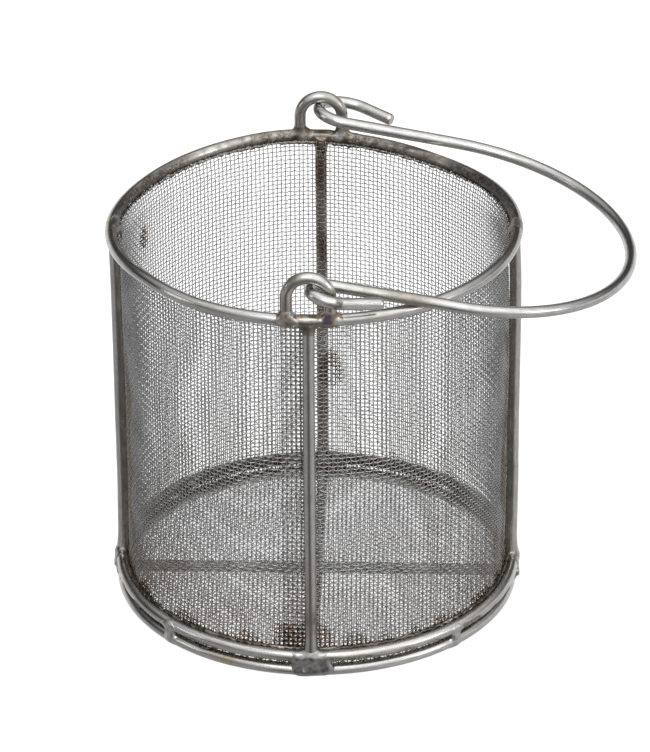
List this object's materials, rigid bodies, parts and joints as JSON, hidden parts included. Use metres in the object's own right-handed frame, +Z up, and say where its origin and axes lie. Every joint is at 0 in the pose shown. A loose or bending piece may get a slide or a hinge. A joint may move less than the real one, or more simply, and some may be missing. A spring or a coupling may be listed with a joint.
{
  "type": "wire mesh dipping basket",
  "caption": "Round basket of woven steel wire in a welded rod frame, with a swinging bail handle hooked into eyes on the rim, for dipping, rinsing or straining.",
  "frame": {"origin": "centre of the circle that the foot ring stands on, at the level of the surface under it", "axes": "+Z up along the basket's axis; +X towards the side on which the bail lies at rest; the two handle eyes are at -Y (front) and +Y (back)"},
  "size_m": [0.2028, 0.1762, 0.1731],
  "materials": {
    "rod": "drawn wire rod, satin",
    "bail_rod": "drawn wire rod, satin, bent cold",
    "woven_wire": "plain weave of bright wire",
    "weld": "as-welded bead with heat tint"
  },
  "bodies": {
    "basket": {"top_ring": "rod", "lower_ring": "rod", "foot_ring": "rod", "rib_front": "rod", "rib_right": "rod", "rib_back": "rod", "rib_left": "rod", "eye_front": "rod", "eye_back": "rod", "bottom_bar_long": "rod", "bottom_bar_front": "rod", "bottom_bar_back": "rod", "mesh_wall": "woven_wire", "mesh_bottom": "woven_wire", "rib_foot_welds": "weld", "ring_bridge_welds": "weld", "rib_top_welds": "weld", "eye_welds": "weld", "bar_welds": "weld", "top_mesh_weld": "weld", "lower_mesh_weld": "weld"},
    "bail": {"bail_handle": "bail_rod"}
  },
  "joints": [
    {"name": "bail_swing", "type": "hinge", "parent": "basket", "child": "bail", "pos_m": [0, 0, 0.1657], "axis": [0, -1, 0], "range_deg": [0, 201.8]}
  ]
}
